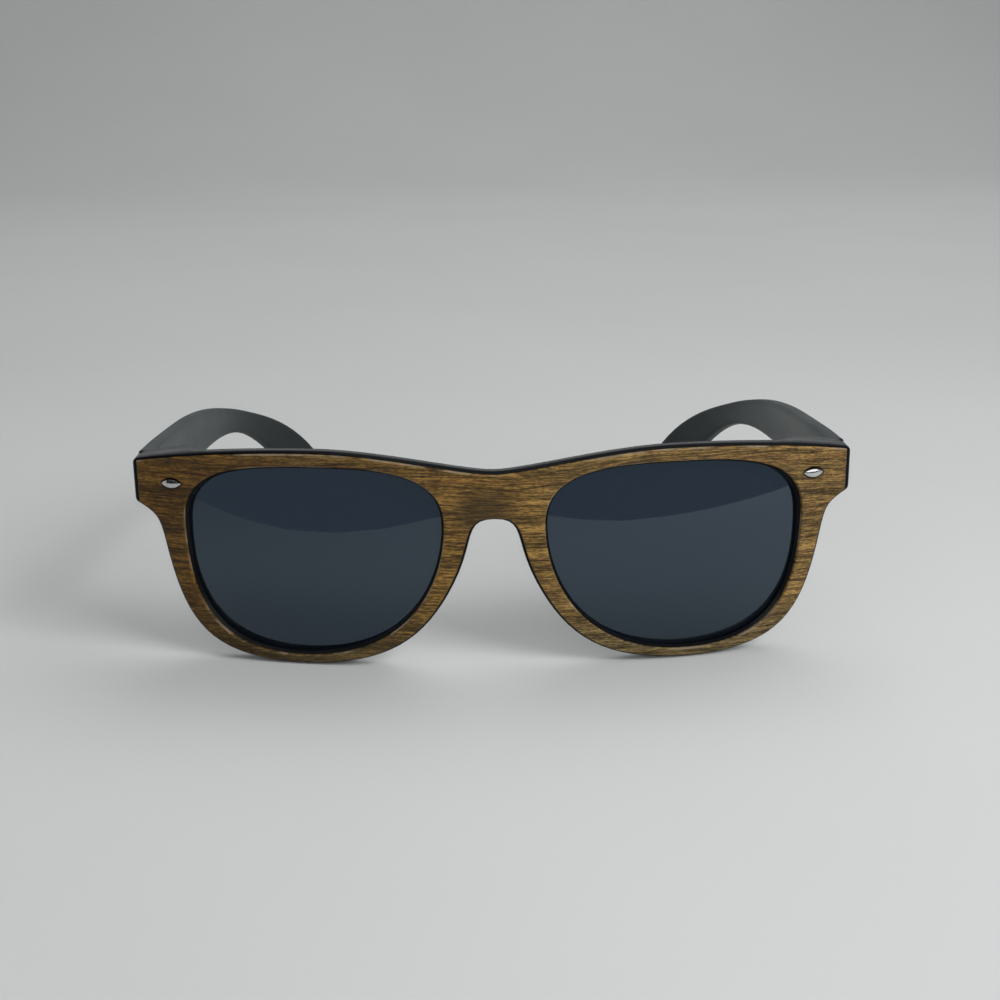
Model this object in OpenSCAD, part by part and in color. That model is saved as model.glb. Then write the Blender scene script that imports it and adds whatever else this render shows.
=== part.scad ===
// Sunglasses with a wood face: a moulded front, a one-piece veneer, two tinted lenses and folding temples.
// Sizes are millimetres. X runs along the brow, the front looks along -Y and Z is up.
// The lowest points of the rims and of the temple tips stand on Z = 0.

/* [Lens openings] */
// Width of one lens opening
lens_w = 52; // [46:0.1:60]
// Height of one lens opening
lens_h = 39.2; // [34:0.1:48]
// Distance between the two openings across the bridge
bridge_w = 21.2; // [18:0.1:26]
// Highest point of an opening, measured outward from its inner edge
lens_top_at = 24.5; // [18:0.1:28]
// Lowest point of an opening, measured outward from its inner edge
lens_low_at = 29.2; // [24:0.1:36]
// Innermost point of an opening, measured up from its lowest point
lens_in_at = 27.8; // [22:0.1:33]
// Outermost point of an opening, measured up from its lowest point
lens_out_at = 27.2; // [20:0.1:32]

/* [Front] */
// Width of the rim below an opening
low_rim_w = 2.5; // [1.8:0.1:4]
// Width of the rim above an opening
top_rim_w = 3.5; // [2.2:0.1:6]
// Width of the rim beside an opening, under the end piece
side_rim_w = 5.1; // [3:0.1:6]
// Height of the narrowest side rim above the lowest point of the rims
side_rim_at = 24.2; // [22:0.1:28]
// Reach of an end piece past its opening
end_w = 11.1; // [9:0.1:13]
// Height of an end piece at the side
end_h = 9.7; // [8.5:0.1:12]
// Thickness of an end piece at the side
end_t = 5.5; // [4.6:0.1:7]
// Radius of the end pieces' lower corners
end_r = 1.2; // [0.6:0.1:2]
// Length over which the rims thicken to the end pieces along the brow
end_run = 8; // [5:0.5:12]
// Length over which the rims thicken to the end pieces down the side
end_drop = 15; // [10:0.5:20]
// Distance of the brow's highest point from the middle
brow_at = 36; // [28:0.5:44]
// Drop of the brow at the middle
brow_dip = 4.1; // [1:0.1:6]
// Drop of the brow at the corners
corner_dip = 2.9; // [1:0.1:6]
// Radius of the upper corners
corner_r = 1.3; // [0.6:0.1:2.5]
// Height of the bridge at the middle
bridge_h = 9.8; // [7:0.1:13]
// Width of the nose gap at the height below
nose_w = 16.6; // [14:0.1:22]
// Height of the nose gap's measured width above the lowest point of the rims
nose_at = 17.9; // [14:0.1:22]
// Depth of the moulded rims
front_t = 3.7; // [3.6:0.1:5.5]
// Width of the bevel on the front edges
face_bevel = 0.5; // [0.2:0.05:0.6]
// Radius of the outer rear edges
back_r = 1.1; // [0.4:0.1:1.1]
// Radius of the rear edges round the lenses
lip_r = 0.4; // [0.2:0.1:0.5]
// Stand-off of the moulded nose pads behind the rims
pad_t = 3.2; // [1:0.1:5]
// Height of the pads' middle above the lowest point of the rims
pad_at = 17; // [14:0.5:20]
// Height of a nose pad
pad_h = 20; // [14:0.5:24]
// Radius of the front's wrap round the face
wrap_r = 230; // [190:5:320]
// Lean of the front's top toward the viewer, degrees
front_lean = -1; // [-4:0.5:8]

/* [Veneer] */
// Thickness of the wood veneer
veneer_t = 0.8; // [0.5:0.1:1.2]
// Bevel on the veneer's front edges
veneer_bevel = 0.2; // [0.1:0.05:0.3]
// Black margin beside the veneer at the ends of the front
veneer_margin = 1; // [0.5:0.1:2]

/* [Lenses] */
// Thickness of a lens
lens_t = 1.3; // [1.1:0.1:1.8]
// Radius of a lens's outer face
lens_r = 150; // [130:5:230]
// Depth of a lens's middle behind the moulded face
lens_back = 0.2; // [0:0.1:0.3]
// Depth of the lens groove in the rim
groove_d = 0.8; // [0.6:0.05:1]
// Room between a lens's edge and the floor of its groove
lens_play = 0.3; // [0.2:0.05:0.4]
// Room between a lens's faces and the walls of its groove
lens_clear = 0.05; // [0.02:0.01:0.1]

/* [Rivets] */
// Length of an almond rivet's head
rivet_w = 4.4; // [3:0.1:6]
// Height of an almond rivet's head
rivet_h = 2; // [1.4:0.1:2.6]
// Rise of an almond rivet's head
rivet_rise = 0.6; // [0.3:0.1:1]
// Depth of a rivet's seat in the veneer
rivet_sink = 0.3; // [0.1:0.05:0.4]
// Room round a rivet's head in its seat
rivet_room = 0.12; // [0.05:0.01:0.2]
// Distance of an almond rivet from the end of the front
rivet_in = 8.5; // [7:0.1:9.5]
// Distance of an almond rivet below the corner of the brow
rivet_down = 4.7; // [3:0.1:5.5]
// Diameter of an almond rivet's pin
rivet_pin_d = 1.2; // [0.8:0.1:1.4]
// Length of an almond rivet's pin
rivet_pin_l = 4.5; // [3:0.1:5]
// Room round a rivet's pin
rivet_clear = 0.02; // [0.01:0.01:0.05]

/* [Temples] */
// Length of a temple along its middle line
temple_l = 131.5; // [115:0.5:140]
// Height of a temple behind its hinge leaf
temple_h = 10.8; // [8.5:0.1:12]
// Height of a temple at its neck
neck_h = 5.9; // [5:0.1:9]
// Distance of the neck from the hinge end
neck_at = 89; // [70:0.5:100]
// Length over which a temple narrows to its neck
neck_run = 51; // [25:1:70]
// Height of the paddle at the tip
tip_h = 11.3; // [8:0.1:14]
// Thickness of a temple at the hinge
temple_t = 4; // [3.4:0.1:5]
// Thickness of a temple at the tip
tip_t = 3.2; // [2.4:0.1:4]
// Distance from the hinge end at which the ear bend starts
bend_at = 50.5; // [30:0.5:70]
// Turn of the ear bend from there to the tip, degrees
bend_turn = 51; // [40:1:70]
// Inward turn of the tip, degrees
curl_turn = 40; // [10:1:44]

/* [Hinges] */
// Diameter of a hinge knuckle
knuckle_d = 3.2; // [2.6:0.1:3.6]
// Length of a hinge knuckle
knuckle_l = 1.3; // [1:0.05:1.4]
// Room between two knuckles
knuckle_gap = 0.12; // [0.08:0.01:0.2]
// Room between moving faces round the hinge
fold_gap = 0.3; // [0.2:0.05:0.5]
// Diameter of a hinge screw
screw_d = 1.4; // [1:0.1:1.6]
// Room round a hinge screw in its knuckles
screw_clear = 0.05; // [0.02:0.01:0.08]
// Diameter of a hinge screw's head
head_d = 2.4; // [2:0.1:2.6]
// Height of a hinge screw's head
head_h = 0.8; // [0.5:0.1:1]
// Thickness of the hinge leaf let into the front
front_leaf_t = 1.1; // [0.8:0.1:1.4]
// Width of the hinge leaf let into the front
front_leaf_w = 4.2; // [3.6:0.1:5]
// Thickness of the hinge leaf let into a temple
temple_leaf_t = 0.8; // [0.6:0.1:1.2]
// Length of the hinge leaf let into a temple
temple_leaf_l = 11; // [9:0.5:14]
// Height of the hinge leaf let into a temple
temple_leaf_h = 4.6; // [4:0.1:6]
// Room round a hinge leaf in its seat
leaf_clear = 0.03; // [0.02:0.01:0.1]
// Diameter of a temple rivet's head
stud_head_d = 1.8; // [1.4:0.1:2.2]
// Rise of a temple rivet's head
stud_rise = 0.35; // [0.2:0.05:0.5]
// Diameter of a temple rivet's pin
stud_d = 1; // [0.7:0.1:1.2]
// Distance between a temple's two rivets
stud_pitch = 4; // [3:0.1:5]

/* [Hidden] */
$fn = 48;

// Heights and reaches that follow from the sizes above
in_x = bridge_w / 2;
out_x = in_x + lens_w;
half_w = out_x + end_w;
low_y = low_rim_w;
top_y = low_y + lens_h;
brow_y = top_y + top_rim_w;
corner_y = brow_y - corner_dip;
end_low_y = corner_y - end_h;
bridge_top_y = brow_y - brow_dip;
bridge_low_y = bridge_top_y - bridge_h;
knuckle_r = knuckle_d / 2;
temple_in_x = half_w - temple_t;
hinge_x = temple_in_x - fold_gap - knuckle_r;
flat_x = hinge_x - front_leaf_w / 2;
lens_mid = [(in_x + out_x) / 2, (low_y + top_y) / 2];

// General curve helpers
function mix(a, b, k) = a * (1 - k) + b * k;
function limit01(k) = max(0, min(1, k));
function ease(k) = let (c = limit01(k)) c * c * (3 - 2 * c);
function curve(p, k) = p[0] * pow(1 - k, 3) + p[1] * 3 * k * pow(1 - k, 2)
    + p[2] * 3 * k * k * (1 - k) + p[3] * pow(k, 3);
function slope(p, k) = (p[1] - p[0]) * pow(1 - k, 2) + (p[2] - p[1]) * 2 * k * (1 - k)
    + (p[3] - p[2]) * k * k;
function left_of(d) = [-d[1], d[0]] / norm(d);

// Opening outline: four curves, clockwise from the highest point
// Each pair gives how far the two handles reach along the curve's width and height
pull_top_out = [0.53, 0.95];
pull_out_low = [0.51, 0.88];
pull_low_in = [0.75, 0.43];
pull_in_top = [0.89, 0.54];
lens_top = [in_x + lens_top_at, top_y];
lens_out = [out_x, low_y + lens_out_at];
lens_low = [in_x + lens_low_at, low_y];
lens_in = [in_x, low_y + lens_in_at];
opening_curves = [
    [lens_top, [mix(lens_top.x, lens_out.x, pull_top_out[0]), top_y],
        [out_x, mix(lens_out.y, top_y, pull_top_out[1])], lens_out],
    [lens_out, [out_x, mix(lens_out.y, low_y, pull_out_low[0])],
        [mix(lens_low.x, out_x, pull_out_low[1]), low_y], lens_low],
    [lens_low, [mix(lens_low.x, in_x, pull_low_in[0]), low_y],
        [in_x, mix(lens_in.y, low_y, pull_low_in[1])], lens_in],
    [lens_in, [in_x, mix(lens_in.y, top_y, pull_in_top[0])],
        [mix(lens_top.x, in_x, pull_in_top[1]), top_y], lens_top]];
function lap(t) = t - 4 * floor(t / 4);
function opening(t) = let (k = lap(t)) curve(opening_curves[floor(k)], k - floor(k));
function opening_normal(t) = let (k = lap(t)) left_of(slope(opening_curves[floor(k)], k - floor(k)));

// Outer outline of the right half: clockwise from the middle of the brow back to the middle
// Each entry holds a curve, its number of steps and the stretch of the opening it faces
brow_fall = [-cos(10), sin(10)] * (half_w - brow_at);
side_dir = [-0.18, -1];
nose_dir = [-0.5, 1];
mid_top = [0, bridge_top_y];
brow_peak = [brow_at, brow_y];
corner_in = [half_w - corner_r, corner_y];
corner_out = [half_w, corner_y - corner_r];
end_foot = [half_w, end_low_y + 0.85 * end_r];
end_turn = [half_w - 1.15 * end_r, end_low_y - 0.25 * end_r];
side_rim = [out_x + side_rim_w, side_rim_at];
end_reach = norm(end_turn - side_rim);
rim_low = [lens_low.x, 0];
nose_side = [nose_w / 2, nose_at];
mid_low = [0, bridge_low_y];
function straight(a, b) = [a, mix(a, b, 1 / 3), mix(a, b, 2 / 3), b];
outer_curves = [
    [[mid_top, mid_top + [0.17 * brow_at, 0], brow_peak - [0.39 * brow_at, 0], brow_peak], 13, -0.73, 0],
    [[brow_peak, brow_peak + [0.28 * (half_w - brow_at), 0], corner_in + brow_fall * 0.33, corner_in],
        13, 0, 0.58],
    [[corner_in, corner_in + [0.55, -0.1] * corner_r, corner_out + [0, 0.55 * corner_r], corner_out],
        4, 0.58, 0.64],
    [straight(corner_out, end_foot), 3, 0.64, 0.82],
    [[end_foot, end_foot - [0, 0.6] * end_r, end_turn + [0.6, 0.36] * end_r, end_turn], 3, 0.82, 0.86],
    [[end_turn, end_turn - [0.34, 0.21] * end_reach, side_rim - side_dir * 0.6 * end_reach, side_rim],
        7, 0.86, 1],
    [[side_rim, side_rim + side_dir * 0.7 * side_rim_at, rim_low + [0.73 * (side_rim.x - rim_low.x), 0],
        rim_low], 18, 1, 2],
    [[rim_low, rim_low - [0.56 * (rim_low.x - nose_side.x), 0], nose_side - nose_dir * 0.68 * nose_at,
        nose_side], 16, 2, 2.62],
    [[nose_side, nose_side + nose_dir * 0.68 * (bridge_low_y - nose_at), mid_low + [0.76 * nose_side.x, 0],
        mid_low], 10, 2.62, 3.13],
    [straight(mid_low, mid_top), 5, 3.13, 3.27]];
mid_curve = len(outer_curves) - 1;

// Stations round a rim: point and outward direction on the opening and on the outer outline
stations = [for (c = [0 : mid_curve]) for (i = [0 : outer_curves[c][1] - 1])
    let (e = outer_curves[c], k = i / e[1], t = mix(e[2], e[3], k), on_mid = c == mid_curve)
    [opening(t), opening_normal(t), on_mid ? [0, curve(e[0], k).y] : [c + i == 0 ? 0 : curve(e[0], k).x,
        curve(e[0], k).y], on_mid ? (i == 0 ? [0, -1] : [0, 0]) : left_of(slope(e[0], k))]];
station_n = len(stations);
first_mid = station_n - outer_curves[mid_curve][1];
function on_middle(i) = i == 0 || i >= first_mid;

// Front space: u across, v up, w back from the moulded face
// A share of 0 goes back square to the wrap, as at the lenses, and 1 straight back, as at the outside
function wrap_a(u) = asin(u / wrap_r);
function sag(u) = wrap_r * (1 - cos(wrap_a(u)));
function lean(p) = [p.x, p.y * cos(front_lean) - p.z * sin(front_lean),
    p.y * sin(front_lean) + p.z * cos(front_lean)];
function in_front(uv, w, share) = let (a = wrap_a(uv.x))
    lean([uv.x - (1 - share) * w * sin(a), sag(uv.x) + w * mix(cos(a), 1, share), uv.y]);

// The end pieces thicken to one flat upright face that carries the hinges
end_mid = [half_w, (corner_y + end_low_y) / 2];
end_plane = in_front(end_mid, end_t, 1).y;
function depth_to_end(uv, share) = let (a = wrap_a(uv.x))
    ((end_plane + uv.y * sin(front_lean)) / cos(front_lean) - sag(uv.x)) / mix(cos(a), 1, share);
function end_share(q) = ease((q.x - flat_x + end_run) / end_run)
    * ease((q.y - end_low_y + end_drop) / end_drop);

// Nose pads swell from the inner rims, behind the nose gap's sides
function pad_share(q) = q.x > lens_low.x ? 0 : pow(max(0, 1 - pow((q.y - pad_at) / (pad_h / 2), 2)), 2);
pad_flare = 0.4;

// Each lens is a ball shell whose middle sits behind its opening
function lens_centre() = let (a = wrap_a(lens_mid.x), r = wrap_r - lens_back - lens_r)
    [r * sin(a), wrap_r - r * cos(a), lens_mid.y];
function lens_depth(uv, r) = let (a = wrap_a(uv.x), e = [-sin(a), cos(a), 0],
    d = [uv.x, sag(uv.x), uv.y] - lens_centre(), m = d * e) -m - sqrt(m * m - d * d + r * r);

// One section of the moulded front, from the opening's front edge outward and round the back
face_mid = 0.5;
soft = 0.3;
function middle_share(p, q) = mix(face_mid, max(0.2, min(0.6, (flat_x - p.x) / (q.x - p.x))), end_share(q));
function front_section(i) = let (st = stations[i], p = st[0], pn = st[1], q = st[2], qn = st[3],
    end = end_share(q), pad = pad_share(q), k = middle_share(p, q), m = mix(p, q, k),
    back_out = mix(front_t, depth_to_end(q, 1), end) + pad * pad_t,
    back_mid = mix(front_t, depth_to_end(m, k), end_share(m)) + pad * pad_t * 0.6,
    r = back_r * (1 - max(0.75 * end, 0.5 * pad)), shift = pad * pad_t * pad_flare,
    groove_front = lens_depth(p, lens_r) - lens_clear,
    groove_back = lens_depth(p, lens_r - lens_t) + lens_clear)
    [in_front(p, face_bevel, 0), in_front(p + pn * face_bevel, 0, 0), in_front(m, 0, k),
    in_front(q - qn * face_bevel, 0, 1), in_front(q - qn * soft * face_bevel, soft * face_bevel, 1),
    in_front(q, face_bevel, 1), in_front(q - qn * shift, back_out - r, 1),
    in_front(q - qn * (shift + soft * r), back_out - soft * r, 1),
    in_front(q - qn * (shift + r), back_out, 1), in_front(m, back_mid, k),
    in_front(p + pn * lip_r, front_t, 0), in_front(p + pn * soft * lip_r, front_t - soft * lip_r, 0),
    in_front(p, front_t - lip_r, 0), in_front(p, groove_back, 0), in_front(p + pn * groove_d, groove_back, 0),
    in_front(p + pn * groove_d, groove_front, 0), in_front(p, groove_front, 0)];

// One section of the veneer: its back lies on the flat of the moulded face, and it stops short of the ends
function short_of_end(uv, margin) = [min(uv.x, half_w - margin), uv.y];
function veneer_section(i) = let (st = stations[i], p = st[0], pn = st[1], q = st[2], qn = st[3],
    k = middle_share(p, q), m = mix(p, q, k), edge = face_bevel + veneer_bevel,
    rim = short_of_end(q - qn * face_bevel, veneer_margin),
    top = short_of_end(q - qn * edge, veneer_margin + veneer_bevel))
    [in_front(p + pn * face_bevel, 0, 0), in_front(p + pn * face_bevel, veneer_bevel - veneer_t, 0),
    in_front(p + pn * edge, -veneer_t, 0), in_front(m, -veneer_t, k), in_front(top, -veneer_t, 1),
    in_front(rim, veneer_bevel - veneer_t, 1), in_front(rim, 0, 1), in_front(m, 0, k)];

// Skins one right half and its mirror image, sharing the points on the middle plane
// Sections from step_a to step_b lie on the middle plane, and back lists the steps that face backward
module two_halves(sections, step_a, step_b, back) {
    n = len(sections);
    m = len(sections[0]);
    right = [for (s = sections) for (p = s) p];
    left = [for (p = right) [-p.x, p.y, p.z]];
    function shared(a, b) = on_middle(a) && b >= step_a && b <= step_b;
    function at(side, i, j) = let (a = i % n, b = j % m) a * m + b + (side == 1 && !shared(a, b) ? n * m : 0);
    function open_to_mirror(i, j) = i >= first_mid && j >= step_a && j < step_b;
    function quad(side, i, j) = [at(side, i, j), at(side, i + 1, j), at(side, i + 1, j + 1),
        at(side, i, j + 1)];
    function halves(q, flip) = flip ? [[q[0], q[1], q[3]], [q[1], q[2], q[3]]]
        : [[q[0], q[1], q[2]], [q[0], q[2], q[3]]];
    faces = [for (side = [0, 1]) for (i = [0 : n - 1]) for (j = [0 : m - 1]) if (!open_to_mirror(i, j))
        for (t = halves(quad(side, i, j), len(search(j, back)) > 0)) side == 0 ? [t[2], t[1], t[0]] : t];
    polyhedron(concat(right, left), faces, convexity = 10);
}

// Places in the finished frame: the whole front is lifted onto Z = 0 and the depth is centred
front_sections = [for (i = [0 : station_n - 1]) front_section(i)];
veneer_sections = [for (i = [0 : station_n - 1]) veneer_section(i)];
lift = -min([for (s = front_sections) for (p = s) p.z]);

// Hinge place: the temple's inner face and the end piece's flat face both clear the knuckles
hinge = [hinge_x, end_plane + fold_gap + knuckle_r,
    in_front(end_mid, end_t, 1).z + lift];
knuckle_n = 5;
stack_h = knuckle_n * knuckle_l + (knuckle_n - 1) * knuckle_gap;
function knuckle_z(i) = hinge.z - stack_h / 2 + i * (knuckle_l + knuckle_gap);

// Temple route: it slopes from the hinge until the tip rests on Z = 0, bends down and curls in
temple_steps = 36;
cap_angles = [18, 36, 52, 66, 78, 86];
bend_power = 1.8;
curl_power = 2.6;
temple_start = [half_w - temple_t / 2, end_plane + fold_gap, hinge.z];
paddle_r = tip_h / 2;
temple_s = concat([for (i = [0 : temple_steps]) (temple_l - paddle_r) * i / temple_steps],
    [for (a = cap_angles) temple_l - paddle_r + paddle_r * sin(a)]);
function bend_a(s, start) = start + bend_turn * pow(max(0, s - bend_at) / (temple_l - bend_at), bend_power);
function curl_a(s) = curl_turn * pow(s / temple_l, curl_power);
function cap_share(s) = sqrt(1 - pow(max(0, s - temple_l + paddle_r) / paddle_r, 2));

// The hinge end is squarer and as tall as the end piece, and past the leaf the temple has its own shape
function hinge_share(s) = ease(s / temple_leaf_l);
function temple_half_h(s) = cap_share(s) / 2 * (s < neck_at
    ? mix(neck_h, mix(end_h, temple_h, hinge_share(s)), ease((neck_at - s) / neck_run))
    : mix(neck_h, tip_h, ease((s - neck_at) / (temple_l - paddle_r - neck_at))));
function temple_half_t(s) = mix(temple_t, tip_t, ease(s / temple_l)) / 2 * sqrt(cap_share(s));
function heading(s, start) = let (b = bend_a(s, start), c = curl_a(s))
    [-cos(b) * sin(c), cos(b) * cos(c), -sin(b)];
function route(start) = [for (i = 0, p = temple_start; i < len(temple_s);
    p = i + 1 < len(temple_s) ? p + heading((temple_s[i] + temple_s[i + 1]) / 2, start)
        * (temple_s[i + 1] - temple_s[i]) : p, i = i + 1) p];
function tip_low(start) = let (r = route(start))
    min([for (i = [0 : len(r) - 1]) r[i].z - temple_half_h(temple_s[i]) * cos(bend_a(temple_s[i], start))]);
function next_start(a, b) = b - tip_low(b) * (b - a) / (tip_low(b) - tip_low(a));
guess_a = 3;
guess_b = next_start(guess_a, 6);
temple_slope = next_start(guess_a, guess_b);
temple_route = route(temple_slope);

// One rounded section of the right temple, square to its route past the hinge leaf
section_n = 20;
function fuller(c, power) = sign(c) * pow(abs(c), power);
function temple_section(i) = let (s = temple_s[i], c = curl_a(s), power = mix(0.25, 0.45, hinge_share(s)),
    b = bend_a(s, temple_slope) * hinge_share(s), across = [cos(c), sin(c), 0],
    up = [-sin(c) * sin(b), cos(c) * sin(b), cos(b)])
    [for (k = [0 : section_n - 1]) let (a = 360 * (k + 0.5) / section_n) temple_route[i]
        + across * temple_half_t(s) * fuller(cos(a), power) + up * temple_half_h(s) * fuller(sin(a), power)];
temple_sections = [for (i = [0 : len(temple_s) - 1]) temple_section(i)];
front_y = min([for (s = veneer_sections) for (p = s) p.y]);
rear_y = max([for (s = temple_sections) for (p = s) p.y]);
centre_y = (front_y + rear_y) / 2;

// Temple hinge leaf and studs, measured back from the temple's hinge end
leaf_start = temple_start.y + 2 * fold_gap;
stud_first = temple_leaf_l - stud_pitch - stud_head_d;
stud_depth = temple_t - temple_leaf_t;
past = 1;

module centred() {
    translate([0, -centre_y, 0]) children();
}

module side(right) {
    mirror([right ? 0 : 1, 0, 0]) children();
}

// Puts children on the moulded face at a rivet, with Z pointing out of the face
module at_rivet() {
    uv = [half_w - rivet_in, corner_y - rivet_down];
    translate(in_front(uv, 0, 0) + [0, 0, lift])
        rotate([front_lean, 0, 0])
            rotate([0, 0, wrap_a(uv.x)])
                rotate([90, 0, 0])
                    children();
}

// An almond outline, grown by a margin all round
module almond(margin, h) {
    arc_r = (pow(rivet_w / 2, 2) + pow(rivet_h / 2, 2)) / rivet_h;
    arc_at = arc_r - rivet_h / 2;
    intersection() {
        translate([0, arc_at, 0]) cylinder(r = arc_r + margin, h = h);
        translate([0, -arc_at, 0]) cylinder(r = arc_r + margin, h = h);
    }
}

// The pin's hole and the shallow seat of the head
module rivet_hole() {
    at_rivet() {
        translate([0, 0, -rivet_pin_l - rivet_clear])
            cylinder(d = rivet_pin_d + 2 * rivet_clear, h = rivet_pin_l + veneer_t + past);
        translate([0, 0, veneer_t - rivet_sink]) almond(rivet_room, rivet_sink + past);
    }
}

module front_leaf(clear) {
    w = front_leaf_w + 2 * clear;
    h = stack_h + 2 * clear;
    translate([hinge.x - w / 2, end_plane - front_leaf_t, hinge.z - h / 2])
        cube([w, front_leaf_t + (clear > 0 ? past : 0), h]);
}

module temple_leaf(clear) {
    l = temple_leaf_l + 2 * clear;
    h = temple_leaf_h + 2 * clear;
    reach = clear > 0 ? past : 0;
    translate([temple_in_x - reach, leaf_start - clear, hinge.z - h / 2])
        cube([temple_leaf_t + reach, l, h]);
}

module front_frame() {
    color("#1b1c1e") centred() difference() {
        translate([0, 0, lift]) two_halves(front_sections, 3, 8, []);
        for (right = [true, false]) side(right) {
            rivet_hole();
            front_leaf(leaf_clear);
        }
    }
}

module wood_veneer() {
    color("#7d5a2f") centred() difference() {
        translate([0, 0, lift]) two_halves(veneer_sections, 4, 6, [6, 7]);
        for (right = [true, false]) side(right) rivet_hole();
    }
}

// The blank follows the opening, grown into the groove
module lens(right) {
    blank = [for (i = [0 : station_n - 1]) let (uv = stations[i][0] + stations[i][1] * (groove_d - lens_play),
        w = lens_depth(uv, lens_r - lens_t / 2)) [uv.x - w * sin(wrap_a(uv.x)), uv.y]];
    depth = sag(out_x) + front_t + end_t;
    color("#2f343b") centred() translate([0, 0, lift]) side(right) rotate([front_lean, 0, 0]) intersection() {
        translate([0, depth, 0]) rotate([90, 0, 0]) linear_extrude(depth) polygon(blank);
        translate(lens_centre()) difference() {
            sphere(r = lens_r, $fn = 240);
            sphere(r = lens_r - lens_t, $fn = 240);
        }
    }
}

// An almond head cut from a low dome, on a pin that runs through the veneer into the end piece
module rivet(right) {
    head_t = rivet_rise + rivet_sink;
    dome_r = (pow(rivet_w / 2, 2) + pow(rivet_rise, 2)) / (2 * rivet_rise);
    color("#c9cbce") centred() side(right) at_rivet() {
        translate([0, 0, veneer_t - rivet_sink]) intersection() {
            almond(0, head_t);
            translate([0, 0, head_t - dome_r]) sphere(r = dome_r);
        }
        translate([0, 0, -rivet_pin_l])
            cylinder(d = rivet_pin_d, h = rivet_pin_l + veneer_t + rivet_rise / 2);
    }
}

module knuckle(i) {
    translate([hinge.x, hinge.y, knuckle_z(i)]) cylinder(d = knuckle_d, h = knuckle_l);
}

module screw_bore() {
    translate([hinge.x, hinge.y, hinge.z - stack_h]) cylinder(d = screw_d + 2 * screw_clear, h = 2 * stack_h);
}

module front_hinge(right) {
    color("#8f9296") centred() side(right) difference() {
        union() {
            front_leaf(0);
            for (i = [0, 2, 4]) {
                knuckle(i);
                translate([hinge.x - knuckle_r, end_plane - front_leaf_t / 2, knuckle_z(i)])
                    cube([knuckle_d, hinge.y - end_plane + front_leaf_t / 2, knuckle_l]);
            }
        }
        screw_bore();
    }
}

module temple_hinge(right) {
    web_w = temple_in_x + temple_leaf_t / 2 - hinge.x;
    color("#8f9296") centred() side(right) difference() {
        union() {
            temple_leaf(0);
            for (i = [1, 3]) {
                knuckle(i);
                translate([hinge.x, leaf_start, knuckle_z(i)])
                    cube([web_w, hinge.y + knuckle_r - leaf_start, knuckle_l]);
            }
        }
        screw_bore();
        for (k = [0, 1]) stud_hole(k);
    }
}

module hinge_screw(right) {
    slot_w = screw_d / 4;
    tail = screw_d / 4;
    color("#a6a9ad") centred() side(right) translate([hinge.x, hinge.y, hinge.z]) difference() {
        union() {
            translate([0, 0, -stack_h / 2 - tail]) cylinder(d = screw_d, h = stack_h + tail);
            translate([0, 0, stack_h / 2]) cylinder(d = head_d, h = head_h);
        }
        translate([-head_d, -slot_w / 2, stack_h / 2 + head_h / 2]) cube([2 * head_d, slot_w, head_h]);
    }
}

// Puts children at a temple stud, with Z pointing from the leaf's face into the temple
module at_stud(k) {
    translate([temple_in_x, leaf_start + stud_first + k * stud_pitch, hinge.z]) rotate([0, 90, 0]) children();
}

module stud_hole(k) {
    at_stud(k) translate([0, 0, -past])
        cylinder(d = stud_d + 2 * rivet_clear, h = stud_depth + past + rivet_clear);
}

module stud(right, k) {
    dome_r = (pow(stud_head_d / 2, 2) + pow(stud_rise, 2)) / (2 * stud_rise);
    color("#a6a9ad") centred() side(right) at_stud(k) {
        intersection() {
            translate([0, 0, dome_r - stud_rise]) sphere(r = dome_r);
            translate([0, 0, -stud_rise]) cylinder(d = stud_head_d, h = stud_rise);
        }
        translate([0, 0, -stud_rise / 2]) cylinder(d = stud_d, h = stud_depth + stud_rise / 2);
    }
}

module temple_body() {
    n = len(temple_sections);
    m = section_n;
    points = [for (s = temple_sections) for (p = s) p];
    walls = [for (i = [0 : n - 2]) for (j = [0 : m - 1])
        let (a = i * m + j, b = i * m + (j + 1) % m) for (t = [[a, b, a + m], [b, b + m, a + m]]) t];
    hinge_end = [for (j = [m - 1 : -1 : 0]) j];
    tip_end = [for (j = [0 : m - 1]) (n - 1) * m + j];
    polyhedron(points, concat(walls, [hinge_end], [tip_end]), convexity = 6);
}

module temple(right) {
    color("#202224") centred() side(right) difference() {
        temple_body();
        temple_leaf(leaf_clear);
        for (k = [0, 1]) stud_hole(k);
    }
}

front_frame();
wood_veneer();
lens(false);  // left_lens
lens(true);  // right_lens
rivet(false);  // left_rivet
rivet(true);  // right_rivet
front_hinge(false);  // left_front_hinge
front_hinge(true);  // right_front_hinge
hinge_screw(false);  // left_hinge_screw
hinge_screw(true);  // right_hinge_screw
temple_hinge(false);  // left_temple_hinge
temple_hinge(true);  // right_temple_hinge
stud(false, 0);  // left_front_stud
stud(false, 1);  // left_rear_stud
stud(true, 0);  // right_front_stud
stud(true, 1);  // right_rear_stud
temple(false);  // left_temple
temple(true);  // right_temple
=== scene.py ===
"""Looks of the sunglasses: materials, floor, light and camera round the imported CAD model."""

import math

import bpy
from mathutils import Matrix, Vector


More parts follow.
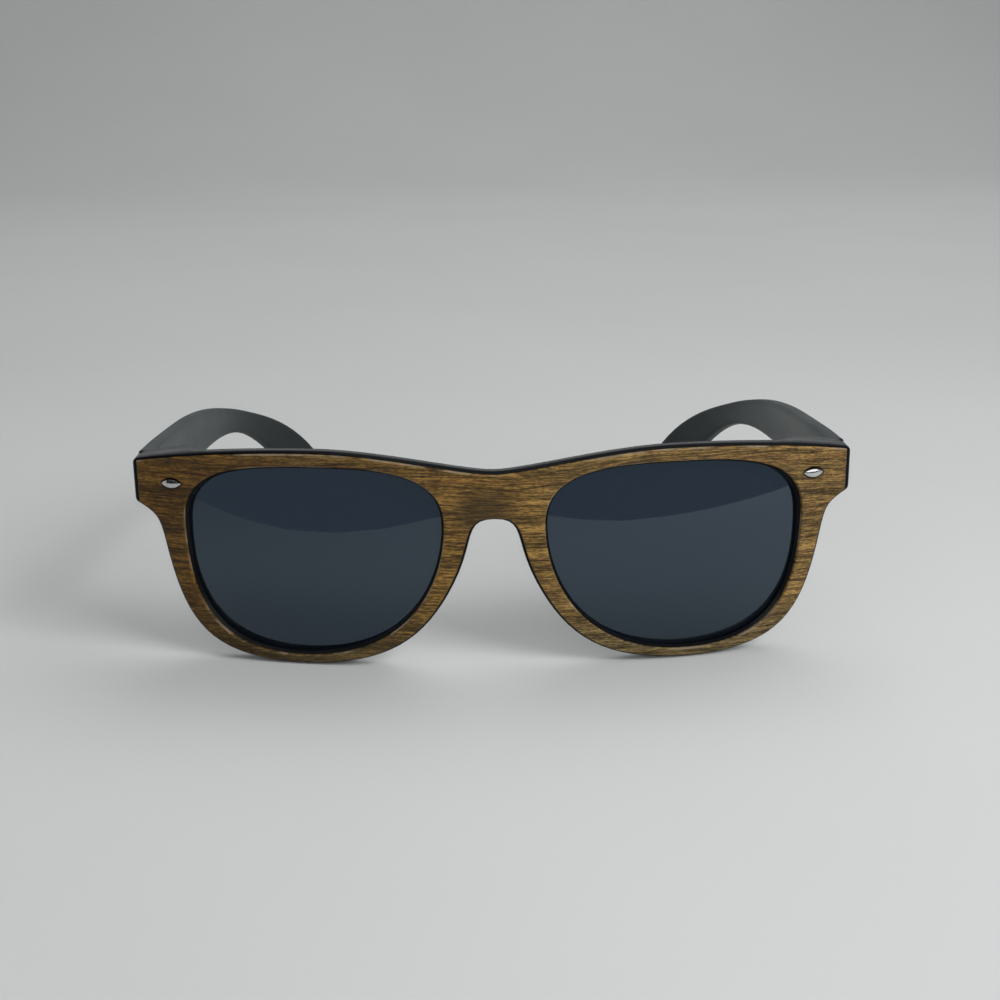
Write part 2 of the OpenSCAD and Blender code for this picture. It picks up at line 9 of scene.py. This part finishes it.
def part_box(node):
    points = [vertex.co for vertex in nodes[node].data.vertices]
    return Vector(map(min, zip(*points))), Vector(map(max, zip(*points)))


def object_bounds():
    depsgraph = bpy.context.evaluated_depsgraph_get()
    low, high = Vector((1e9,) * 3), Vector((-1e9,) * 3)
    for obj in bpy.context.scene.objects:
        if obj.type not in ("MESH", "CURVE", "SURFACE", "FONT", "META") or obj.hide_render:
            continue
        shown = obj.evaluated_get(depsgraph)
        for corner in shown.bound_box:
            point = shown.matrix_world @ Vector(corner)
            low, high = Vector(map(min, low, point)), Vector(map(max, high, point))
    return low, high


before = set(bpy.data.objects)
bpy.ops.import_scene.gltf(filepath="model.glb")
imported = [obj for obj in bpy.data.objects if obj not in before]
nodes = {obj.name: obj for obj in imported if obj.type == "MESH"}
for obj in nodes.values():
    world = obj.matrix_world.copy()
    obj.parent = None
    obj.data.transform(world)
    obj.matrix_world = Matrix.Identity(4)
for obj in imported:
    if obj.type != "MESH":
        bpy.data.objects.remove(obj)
cad_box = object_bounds()


def rgb(red, green, blue):
    """An opaque colour."""
    return (red, green, blue, 1.0)


def middle(name):
    """Middle of a CAD node's box, across and up."""
    low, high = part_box(name)
    return ((low.x + high.x) / 2, (low.z + high.z) / 2)


# All sizes and places are in metres and all angles in degrees, unless a comment says otherwise

# Camera: place, turn to the right, look down, roll clockwise, and the nearest distance that it sees
CAMERA_PLACE = (-0.0033, -0.3529, 0.1247)
CAMERA_YAW = 0.90
CAMERA_PITCH = 17.42
CAMERA_ROLL = 0.72
CLIP_START = 0.01

# The camera's sensor and lens, in millimetres
SENSOR_WIDTH = 36.0
FOCAL_LENGTH = 54.04

# Floor that sweeps up into a wall behind, with the sweep's step in degrees
FLOOR_FRONT = -1.6
FLOOR_BACK = 0.9
SWEEP_RADIUS = 0.5
SWEEP_STEP = 6
WALL_HEIGHT = 1.8
STAGE_HALF_WIDTH = 2.2

# The room in front, as reflections see it: points along the floor's far edge, each with the height of
# the dim part there
ROOM = ((-0.60, -0.330, 0.034), (-0.25, -0.235, 0.034), (-0.20, -0.215, 0.035), (-0.15, -0.196, 0.040),
        (-0.11, -0.187, 0.046), (-0.08, -0.193, 0.048), (-0.05, -0.218, 0.048), (-0.02, -0.265, 0.048),
        (0.00, -0.285, 0.048), (0.02, -0.268, 0.048), (0.045, -0.242, 0.048), (0.07, -0.227, 0.048),
        (0.11, -0.226, 0.046), (0.16, -0.230, 0.038), (0.26, -0.246, 0.034), (0.60, -0.330, 0.034))

# Over the dim part, a dark strip up to the window's sill, and then the window. The sill rises to the
# left (-1) and to the right (1) by these shares of the way from the middle
SILL_HEIGHT = 0.060
SILL_RISE = {-1: 0.45, 1: 0.15}
WINDOW_TOP = 0.30

# The pale wall that reflections see behind: place along Y, half width, and heights of its two edges
BACK_WALL_Y = 1.3
BACK_WALL_HALF_WIDTH = 1.2
BACK_WALL_HEIGHTS = (0.25, 0.80)

# Glow of each part of the room in a reflection
DIM_GLOW = rgb(0.33, 0.365, 0.41)
DARK_GLOW = rgb(0.03, 0.03, 0.03)
WINDOW_GLOW = rgb(1.6, 1.6, 1.6)
BACK_WALL_GLOW = rgb(0.80, 0.82, 0.85)

# Even surround: colour, and strength as light and as it is seen past the floor or in a reflection
SURROUND_COLOUR = rgb(0.95, 0.98, 1.0)
SURROUND_LIGHT = 0.27
SURROUND_SEEN = 0.50

# Lamps: place, point that each shines at, width and height, power in watts, and spread
LAMPS = {
    "overhead": ((0.40, 0.60, 1.05), (0.0, 0.0, 0.02), (1.4, 0.8), 6.5, 180),
    "right_key": ((0.62, -0.52, 0.55), (0.12, -0.18, 0.0), (0.5, 0.5), 1.10, 70),
    "window": ((0.35, -1.25, 0.45), (0.0, 0.0, 0.02), (1.2, 0.6), 3.5, 180),
}

# From the frame: the right end, across, and the middles of the right lens and the right rivet, across
# and up
HALF_WIDTH = cad_box[1].x
LENS_AT = middle("right_lens")
RIVET_AT = middle("right_rivet")

# Almond rivets: stretch across for the wrap, and half length and half height of the rivet and of the
# part inside the painted shade on its rim
RIVET_TURN = 1.043
RIVET_HALF = (0.00220, 0.00100)
UNSHADED_HALF = (0.00213, 0.00079)

# Distances outside an almond over which the painted shadow round a rivet grows, and the painted shade on
# its rim
SEAT_SHADOW = (0.00040, 0.00012)
RIM_SHADE = (-0.00004, 0.00008)

# The ridge along a rivet: how steeply its two facets fall, and how wide its rounded crest is
RIDGE_SLOPE = 0.25
RIDGE_CREST = 0.00030

# Veneer: sway of the grain, and heights over which it turns cool at the foot with painted cool light and
# red at the top
GRAIN_SWAY = 0.004
COOL_LIGHT_HEIGHTS = (0.014, 0.003)
RED_HEIGHTS = (0.034, 0.042)

# The dark patch on the bridge: middle across and up, how much wider than high, and the distances from
# its middle at which it starts and is darkest
PATCH_AT = (-0.002, 0.03406)
PATCH_STRETCH = 1.6
PATCH_FADE = (0.0100, 0.0020)

# Direction in which the front faces, and how far before a cut edge the lens's middle has to lie, from
# where the edge starts to count as the lens's own
FRONTWARD = (0.0, -1.0, 0.0)
LENS_BEFORE_EDGE = (-0.002, 0.004)

# Where the temples turn duller, and darker with painted shade, towards their tips, along Y
TIP_DULL_AND_SHADE_FROM_TO = (-0.01, 0.06)

# Depth of the fine relief in each finish
PORE_DEPTH = 0.00004
PEEL_DEPTH = 0.000006
SAND_DEPTH = 0.00001
TOOL_MARK_DEPTH = 0.000004

# Points nearer than the first are joined, and edges sharper than the second stay crisp
WELD_DISTANCE = 2e-6
SMOOTH_ANGLE = 34.0


class Shader:
    """A material's node tree, with short calls to add nodes and join them."""

    # Sockets in which a mix node keeps its two colours and the result
    FIRST_COLOUR = 6
    SECOND_COLOUR = 7
    MIXED_COLOUR = 2

    def __init__(self, name):
        self.material = bpy.data.materials.new(name)
        self.material.use_nodes = True
        self.tree = self.material.node_tree
        self.surface = self.tree.nodes["Principled BSDF"]
        coordinates = self.tree.nodes.new("ShaderNodeTexCoord")
        self.place = coordinates.outputs["Object"]

    def join(self, source, target):
        """Links an output to an input, or sets the input to a plain value."""
        if isinstance(source, bpy.types.NodeSocket):
            self.tree.links.new(source, target)
        else:
            target.default_value = source

    def noise(self, waves, vector=None, detail=3.0, roughness=0.5):
        """Noise with so many waves in a metre along each axis, by the place on the object."""
        scaled = self.tree.nodes.new("ShaderNodeMapping")
        scaled.inputs["Scale"].default_value = waves
        self.join(vector or self.place, scaled.inputs["Vector"])
        node = self.tree.nodes.new("ShaderNodeTexNoise")
        self.join(scaled.outputs["Vector"], node.inputs["Vector"])
        node.inputs["Scale"].default_value = 1.0
        node.inputs["Detail"].default_value = detail
        node.inputs["Roughness"].default_value = roughness
        return node.outputs["Fac"]

    def math(self, operation, a, b=0.0):
        """A sum, product or the like of two numbers."""
        node = self.tree.nodes.new("ShaderNodeMath")
        node.operation = operation
        self.join(a, node.inputs[0])
        self.join(b, node.inputs[1])
        return node.outputs[0]

    def measure(self, operation, a, b):
        """A number worked out from two vectors: their distance or their dot product."""
        node = self.tree.nodes.new("ShaderNodeVectorMath")
        node.operation = operation
        self.join(a, node.inputs[0])
        self.join(b, node.inputs[1])
        return node.outputs["Value"]

    def split(self, vector):
        """The X, Y and Z of a vector."""
        node = self.tree.nodes.new("ShaderNodeSeparateXYZ")
        self.join(vector, node.inputs[0])
        return node.outputs

    def joined(self, x, y, z):
        """A vector from its X, Y and Z."""
        node = self.tree.nodes.new("ShaderNodeCombineXYZ")
        for source, target in zip((x, y, z), node.inputs):
            self.join(source, target)
        return node.outputs[0]

    def spread(self, value, low, high, to_low=0.0, to_high=1.0):
        """Maps low..high smoothly to to_low..to_high."""
        node = self.tree.nodes.new("ShaderNodeMapRange")
        node.interpolation_type = "SMOOTHSTEP"
        self.join(value, node.inputs["Value"])
        node.inputs["From Min"].default_value = low
        node.inputs["From Max"].default_value = high
        node.inputs["To Min"].default_value = to_low
        node.inputs["To Max"].default_value = to_high
        return node.outputs["Result"]

    def mix(self, factor, a, b, blend="MIX"):
        """Colour a, with so much of colour b mixed in."""
        node = self.tree.nodes.new("ShaderNodeMix")
        node.data_type = "RGBA"
        node.blend_type = blend
        self.join(factor, node.inputs["Factor"])
        self.join(a, node.inputs[self.FIRST_COLOUR])
        self.join(b, node.inputs[self.SECOND_COLOUR])
        return node.outputs[self.MIXED_COLOUR]

    def ramp(self, value, stops):
        """A colour read off between stops, each a position and its colour."""
        node = self.tree.nodes.new("ShaderNodeValToRGB")
        elements = node.color_ramp.elements
        while len(elements) < len(stops):
            elements.new(0.5)
        for element, (position, colour) in zip(elements, stops):
            element.position = position
            element.color = colour
        self.join(value, node.inputs["Fac"])
        return node.outputs["Color"]

    def bump(self, height, depth):
        """Relief of the given depth."""
        node = self.tree.nodes.new("ShaderNodeBump")
        node.inputs["Strength"].default_value = 1.0
        node.inputs["Distance"].default_value = depth
        self.join(height, node.inputs["Height"])
        return node.outputs["Normal"]

    def facing(self):
        """The geometry's own normal."""
        return self.tree.nodes.new("ShaderNodeNewGeometry").outputs["Normal"]

    def set(self, **sockets):
        """Joins sources to the shader's sockets, with spaces in names written as underscores."""
        for name, source in sockets.items():
            self.join(source, self.surface.inputs[name.replace("_", " ")])
        return self.material


def wood():
    """Oiled veneer: level grain on a ground that lightens to the right, partly the wood's own tone and
    partly painted light from the right.
    """
    cool_light_tint = rgb(0.66, 0.76, 1.0)
    pore_brown = rgb(0.020, 0.011, 0.004)
    rivet_shadow_brown = rgb(0.008, 0.005, 0.003)
    shader = Shader("wood_veneer")
    x, y, z = shader.split(shader.place)
    sway = shader.noise((24, 24, 40), detail=2)
    wavy = shader.joined(x, y, shader.math("ADD", z, shader.math("MULTIPLY", sway, GRAIN_SWAY)))
    bands = shader.noise((18, 18, 480), wavy, detail=5, roughness=0.65)
    fibres = shader.noise((140, 140, 3100), wavy, detail=4, roughness=0.75)
    flecks = shader.noise((1100, 1100, 4200), wavy, detail=1)
    pores = shader.spread(shader.noise((240, 240, 4300), wavy, detail=2), 0.57, 0.61)
    figure = shader.math("ADD", shader.math("MULTIPLY", bands, 0.4), shader.math("MULTIPLY", fibres, 0.6))
    # Ground tone across the front: partly the wood's own, partly painted light, lighter where light from
    # the right falls
    colour = shader.ramp(shader.spread(x, -HALF_WIDTH, HALF_WIDTH), [
        (0.01, rgb(0.103, 0.051, 0.008)),
        (0.15, rgb(0.100, 0.057, 0.016)),
        (0.50, rgb(0.196, 0.108, 0.022)),
        (0.66, rgb(0.196, 0.120, 0.036)),
        (0.95, rgb(0.192, 0.116, 0.036))])
    colour = shader.mix(1.0, colour, shader.spread(figure, 0.41, 0.60, 0.28, 1.62), "MULTIPLY")
    colour = shader.mix(1.0, colour, shader.spread(flecks, 0.32, 0.68, 0.62, 1.38), "MULTIPLY")
    # Painted cool light: the veneer turns cooler towards its foot
    colour = shader.mix(shader.spread(z, *COOL_LIGHT_HEIGHTS), colour, cool_light_tint, "MULTIPLY")
    colour = wood_marks(shader, colour, x, z, wavy)
    colour = shader.mix(shader.math("MULTIPLY", pores, 0.68), colour, pore_brown)
    # Painted shadow on the veneer round each rivet
    rivet_shadow = shader.spread(almond(shader, x, z, RIVET_HALF), *SEAT_SHADOW, 0.0, 0.85)
    colour = shader.mix(rivet_shadow, colour, rivet_shadow_brown)
    colour = cut_edges(shader, colour, x, z)
    relief = shader.math("SUBTRACT", shader.math("MULTIPLY", fibres, 0.5), pores)
    return shader.set(Base_Color=colour, Roughness=shader.spread(fibres, 0.3, 0.7, 0.46, 0.60),
                      Normal=shader.bump(relief, PORE_DEPTH), Specular_IOR_Level=0.22)


def wood_marks(shader, colour, x, z, wavy):
    """The marks of the wood: a dark patch on the bridge, long dark streaks, and red ones near the top."""
    patch_brown = rgb(0.040, 0.024, 0.008)
    streak_brown = rgb(0.045, 0.024, 0.008)
    red_brown = rgb(0.110, 0.036, 0.014)
    across, up = PATCH_AT
    place = shader.joined(x, 0.0, shader.math("MULTIPLY", z, PATCH_STRETCH))
    away = shader.measure("DISTANCE", place, (across, 0.0, up * PATCH_STRETCH))
    colour = shader.mix(shader.spread(away, *PATCH_FADE, 0.0, 0.85), colour, patch_brown)
    streaks = shader.noise((17, 17, 300), wavy, detail=2)
    colour = shader.mix(shader.spread(streaks, 0.60, 0.72, 0.0, 0.42), colour, streak_brown)
    reds = shader.spread(shader.noise((22, 22, 900), wavy), 0.58, 0.68)
    near_top = shader.spread(z, *RED_HEIGHTS, 0.08, 0.45)
    return shader.mix(shader.math("MULTIPLY", reds, near_top), colour, red_brown)


def cut_edges(shader, colour, x, z):
    """The veneer's cut edges: pale round the lenses and along the top, partly worn bare wood and partly a
    painted highlight, and burnt dark elsewhere.
    """
    burnt_brown = rgb(0.016, 0.010, 0.006)
    bare_wood_and_highlight = rgb(0.29, 0.23, 0.15)
    across, up = LENS_AT
    normal = shader.facing()
    edge = shader.spread(shader.measure("DOT_PRODUCT", normal, FRONTWARD), 0.88, 0.72)
    lens_x = shader.math("MULTIPLY", shader.math("SIGN", x), across)
    inward = shader.joined(shader.math("SUBTRACT", lens_x, x), 0.0, shader.math("SUBTRACT", up, z))
    at_lens = shader.spread(shader.measure("DOT_PRODUCT", normal, inward), *LENS_BEFORE_EDGE)
    at_top = shader.spread(shader.split(normal)["Z"], 0.40, 0.65)
    pale = shader.math("MAXIMUM", at_lens, at_top)
    burnt = shader.math("MULTIPLY", shader.math("SUBTRACT", 1.0, pale), edge)
    colour = shader.mix(shader.math("MULTIPLY", burnt, 0.85), colour, burnt_brown)
    patchy = shader.spread(shader.noise((150, 150, 150)), 0.46, 0.62, 0.0, 0.65)
    # The pale edges are partly worn bare wood and partly a painted highlight on edges that face up or
    # towards the lens
    worn = shader.math("MULTIPLY", shader.math("MULTIPLY", edge, pale), patchy)
    return shader.mix(worn, colour, bare_wood_and_highlight)


def almond(shader, x, z, half):
    """Distance outside the nearer rivet's almond, which two arcs bound."""
    length, height = half
    across, up = RIVET_AT
    radius = (length ** 2 + height ** 2) / (2 * height)
    aside = shader.math("SUBTRACT", shader.math("ABSOLUTE", x), across)
    aside = shader.math("MULTIPLY", aside, RIVET_TURN)
    place = shader.joined(aside, 0.0, shader.math("SUBTRACT", z, up))
    centres = [(0.0, 0.0, side * (radius - height)) for side in (-1, 1)]
    reach = [shader.measure("DISTANCE", place, centre) for centre in centres]
    return shader.math("SUBTRACT", shader.math("MAXIMUM", *reach), radius)


def moulded_black():
    """Satin black moulding with a faint orange peel and rubbed high spots."""
    plain = rgb(0.0020, 0.0024, 0.0034)
    rubbed = rgb(0.0050, 0.0056, 0.0070)
    shader = Shader("moulded_black")
    peel = shader.noise((900, 900, 900), detail=2)
    smears = shader.noise((70, 70, 70), detail=4)
    colour = shader.mix(shader.spread(smears, 0.45, 0.75), plain, rubbed)
    return shader.set(Base_Color=colour, Roughness=shader.spread(smears, 0.3, 0.7, 0.16, 0.28),
                      Normal=shader.bump(peel, PEEL_DEPTH), Specular_IOR_Level=0.09)


def soft_black():
    """Matt temple plastic: fine sand texture, handling marks, duller on top and towards the tips, and
    darker towards the tips with painted shade.
    """
    plain = rgb(0.012, 0.016, 0.018)
    handled = rgb(0.019, 0.024, 0.026)
    tip_shade = rgb(0.30, 0.30, 0.30)
    shader = Shader("soft_black")
    sand = shader.noise((5200, 5200, 5200), detail=2)
    marks = shader.noise((45, 30, 60), detail=5, roughness=0.6)
    duller_and_shaded = shader.spread(shader.split(shader.place)["Y"], *TIP_DULL_AND_SHADE_FROM_TO)
    upward = shader.spread(shader.split(shader.facing())["Z"], 0.35, 0.85, 0.0, 0.14)
    colour = shader.mix(shader.spread(marks, 0.35, 0.7), plain, handled)
    # Painted shade: the temples darken towards their tips
    colour = shader.mix(duller_and_shaded, colour, tip_shade, "MULTIPLY")
    worn = shader.math("ADD", shader.math("MULTIPLY", duller_and_shaded, 0.22), upward)
    roughness = shader.math("ADD", shader.spread(marks, 0.3, 0.7, 0.34, 0.44), worn)
    return shader.set(Base_Color=colour, Roughness=roughness, Normal=shader.bump(sand, SAND_DEPTH),
                      Specular_IOR_Level=0.54, Specular_Tint=rgb(0.88, 1.0, 1.0))


def tinted_lens():
    """Polished dark lens, almost opaque, with a cool coating, a trace of dust and wiping marks."""
    tint = rgb(0.003, 0.006, 0.010)
    dust_grey = rgb(0.050, 0.060, 0.070)
    shader = Shader("tinted_lens")
    dust = shader.spread(shader.noise((2600, 2600, 2600), detail=1), 0.70, 0.78, 0.0, 0.25)
    wiping = shader.noise((60, 60, 160), detail=4)
    return shader.set(Base_Color=shader.mix(dust, tint, dust_grey), IOR=1.85,
                      Roughness=shader.spread(wiping, 0.3, 0.8, 0.02, 0.05),
                      Specular_Tint=rgb(0.63, 0.79, 0.98))


def metal(name, colour, roughness, waves):
    """Worked metal: fine tool marks with so many waves in a metre along each axis."""
    shaded = [0.82 * channel for channel in colour]
    shader = Shader(name)
    marks = shader.noise(waves)
    tone = shader.mix(shader.spread(marks, 0.3, 0.7), rgb(*shaded), rgb(*colour))
    return shader.set(Base_Color=tone, Metallic=1.0, Normal=shader.bump(marks, TOOL_MARK_DEPTH),
                      Roughness=shader.spread(marks, 0.3, 0.7, roughness * 0.8, roughness * 1.2))


def chrome():
    """Polished rivet with a ridge along it, darkened round its rim with painted shade."""
    dim = rgb(0.53, 0.52, 0.52)
    bright = rgb(0.64, 0.64, 0.64)
    rim_shade_colour = rgb(0.020, 0.016, 0.012)
    shader = Shader("chrome")
    x, _, z = shader.split(shader.place)
    up = shader.math("SUBTRACT", z, RIVET_AT[1])
    ridge = shader.math("SQRT", shader.math("ADD", shader.math("MULTIPLY", up, up), RIDGE_CREST ** 2))
    facets = shader.bump(shader.math("MULTIPLY", ridge, -1.0), RIDGE_SLOPE)
    marks = shader.noise((1200, 1200, 1200))
    tone = shader.mix(shader.spread(marks, 0.3, 0.7), dim, bright)
    # Painted shade round the rivet's rim
    rim = shader.spread(almond(shader, x, z, UNSHADED_HALF), *RIM_SHADE)
    return shader.set(Base_Color=shader.mix(rim, tone, rim_shade_colour), Metallic=1.0, Normal=facets,
                      Roughness=shader.spread(marks, 0.3, 0.7, 0.07, 0.11))


def smoothing():
    """A modifier tree that drops the loaded normals, joins split points and keeps sharp edges crisp."""
    tree = bpy.data.node_groups.new("smooth_by_angle", "GeometryNodeTree")
    for direction in ("INPUT", "OUTPUT"):
        tree.interface.new_socket("Geometry", in_out=direction, socket_type="NodeSocketGeometry")
    kinds = ("NodeGroupInput", "GeometryNodeRemoveAttribute", "GeometryNodeRemoveAttribute",
             "GeometryNodeMergeByDistance", "GeometryNodeSetShadeSmooth", "GeometryNodeSetShadeSmooth",
             "NodeGroupOutput")
    made = [tree.nodes.new(kind) for kind in kinds]
    for first, second in zip(made, made[1:]):
        tree.links.new(first.outputs["Geometry"], second.inputs["Geometry"])
    _, normals, creases, weld, faces, edges, _ = made
    normals.inputs["Name"].default_value = "custom_normal"
    creases.inputs["Name"].default_value = "sharp_edge"
    weld.inputs["Distance"].default_value = WELD_DISTANCE
    faces.domain = "FACE"
    edges.domain = "EDGE"
    edges.inputs["Shade Smooth"].default_value = False
    angle = tree.nodes.new("GeometryNodeInputMeshEdgeAngle")
    sharp = tree.nodes.new("FunctionNodeCompare")
    sharp.operation = "GREATER_THAN"
    sharp.inputs["B"].default_value = math.radians(SMOOTH_ANGLE)
    tree.links.new(angle.outputs["Unsigned Angle"], sharp.inputs["A"])
    tree.links.new(sharp.outputs["Result"], edges.inputs["Selection"])
    return tree


def dress():
    """Gives every CAD node its finish, by the end of its name, and its smooth shading."""
    brushed = metal("hinge_steel", (0.52, 0.53, 0.55), 0.30, (300, 300, 9000))
    turned = metal("turned_steel", (0.60, 0.61, 0.63), 0.22, (7000, 7000, 500))
    finishes = {
        "front_frame": moulded_black(),
        "veneer": wood(),
        "lens": tinted_lens(),
        "rivet": chrome(),
        "screw": turned,
        "stud": turned,
        "hinge": brushed,
        "temple": soft_black(),
    }
    smooth = smoothing()
    for name, node in nodes.items():
        kind = next(ending for ending in finishes if name.endswith(ending))
        node.data.materials.clear()
        node.data.materials.append(finishes[kind])
        modifier = node.modifiers.new("smooth_by_angle", "NODES")
        modifier.node_group = smooth


def strip(name, first, second, material):
    """A sheet between two rows of points."""
    points = [point for pair in zip(first, second) for point in pair]
    faces = [(i, i + 2, i + 3, i + 1) for i in range(0, len(points) - 2, 2)]
    mesh = bpy.data.meshes.new(name)
    mesh.from_pydata(points, [], faces)
    mesh.materials.append(material)
    sheet = bpy.data.objects.new(name, mesh)
    bpy.context.scene.collection.objects.link(sheet)
    return sheet


def pale_floor():
    """A floor that sweeps up into a wall behind."""
    shader = Shader("pale_floor")
    tone = shader.mix(shader.noise((6, 6, 6)), rgb(0.60, 0.61, 0.60), rgb(0.66, 0.67, 0.66))
    shader.set(Base_Color=tone, Roughness=0.9)
    profile = [(FLOOR_FRONT, 0.0)]
    for degrees in range(0, 91, SWEEP_STEP):
        turn = math.radians(degrees)
        profile.append((FLOOR_BACK + SWEEP_RADIUS * math.sin(turn), SWEEP_RADIUS * (1 - math.cos(turn))))
    profile.append((FLOOR_BACK + SWEEP_RADIUS, WALL_HEIGHT))
    right, left = [[(side * STAGE_HALF_WIDTH, y, z) for y, z in profile] for side in (1, -1)]
    sheet = strip("floor", right, left, shader.material)
    sheet.data.shade_smooth()
    return sheet


def screen(name, low, high, colour):
    """A glowing strip between two rows of points, seen only in reflections."""
    shader = Shader(name)
    shader.set(Base_Color=rgb(0.0, 0.0, 0.0), Specular_IOR_Level=0.0,
               Emission_Strength=1.0, Emission_Color=colour)
    card = strip(name, low, high, shader.material)
    card.visible_camera = False
    card.visible_diffuse = False
    card.visible_shadow = False
    card.visible_transmission = False
    return card


def stage():
    """The floor, and the room in front and behind as the lenses and rivets mirror it."""
    floor = pale_floor()
    foot = [(x, y, 0.0) for x, y, _ in ROOM]
    sill = [(x, y, SILL_HEIGHT + SILL_RISE[math.copysign(1, x)] * abs(x)) for x, y, _ in ROOM]
    top = [(x, y, WINDOW_TOP) for x, y, _ in ROOM]
    ends = (-BACK_WALL_HALF_WIDTH, BACK_WALL_HALF_WIDTH)
    back = [[(x, BACK_WALL_Y, z) for x in ends] for z in BACK_WALL_HEIGHTS]
    screen("dim_room", foot, ROOM, DIM_GLOW)
    screen("dark_strip", ROOM, sill, DARK_GLOW)
    screen("bright_window", sill, top, WINDOW_GLOW)
    screen("pale_wall", *back, BACK_WALL_GLOW)


def surround():
    """An even pale world, brighter where it is seen or mirrored than as light."""
    world = bpy.data.worlds.new("surround")
    world.use_nodes = True
    tree = world.node_tree
    background = tree.nodes["Background"]
    background.inputs["Color"].default_value = SURROUND_COLOUR
    rays = tree.nodes.new("ShaderNodeLightPath").outputs
    seen = rays["Is Camera Ray"]
    for kind in ("Is Glossy Ray", "Is Transmission Ray"):
        either = tree.nodes.new("ShaderNodeMath")
        either.operation = "MAXIMUM"
        tree.links.new(seen, either.inputs[0])
        tree.links.new(rays[kind], either.inputs[1])
        seen = either.outputs[0]
    strength = tree.nodes.new("ShaderNodeMapRange")
    strength.inputs["To Min"].default_value = SURROUND_LIGHT
    strength.inputs["To Max"].default_value = SURROUND_SEEN
    tree.links.new(seen, strength.inputs["Value"])
    tree.links.new(strength.outputs["Result"], background.inputs["Strength"])
    bpy.context.scene.world = world


def area_light(name, place, target, size, power, spread):
    """A rectangular lamp that shines at a point and shows in no reflection."""
    light = bpy.data.lights.new(name, "AREA")
    light.shape = "RECTANGLE"
    light.size, light.size_y = size
    light.energy = power
    light.spread = math.radians(spread)
    lamp = bpy.data.objects.new(name, light)
    lamp.location = place
    lamp.rotation_euler = (Vector(target) - Vector(place)).to_track_quat("-Z", "Y").to_euler()
    lamp.visible_glossy = False
    bpy.context.scene.collection.objects.link(lamp)


def camera():
    """The camera, placed and turned to see the model as the photo shows the object."""
    data = bpy.data.cameras.new("camera")
    data.sensor_width = SENSOR_WIDTH
    data.lens = FOCAL_LENGTH
    data.clip_start = CLIP_START
    viewer = bpy.data.objects.new("camera", data)
    turn = Matrix.Rotation(math.radians(-CAMERA_YAW), 4, "Z")
    tip = Matrix.Rotation(math.radians(90 - CAMERA_PITCH), 4, "X")
    roll = Matrix.Rotation(math.radians(-CAMERA_ROLL), 4, "Z")
    viewer.matrix_world = Matrix.Translation(CAMERA_PLACE) @ turn @ tip @ roll
    bpy.context.scene.collection.objects.link(viewer)
    bpy.context.scene.camera = viewer


dress()
stage()
surround()
for lamp_name, settings in LAMPS.items():
    area_light(lamp_name, *settings)
camera()
bpy.context.scene.view_settings.view_transform = "Standard"
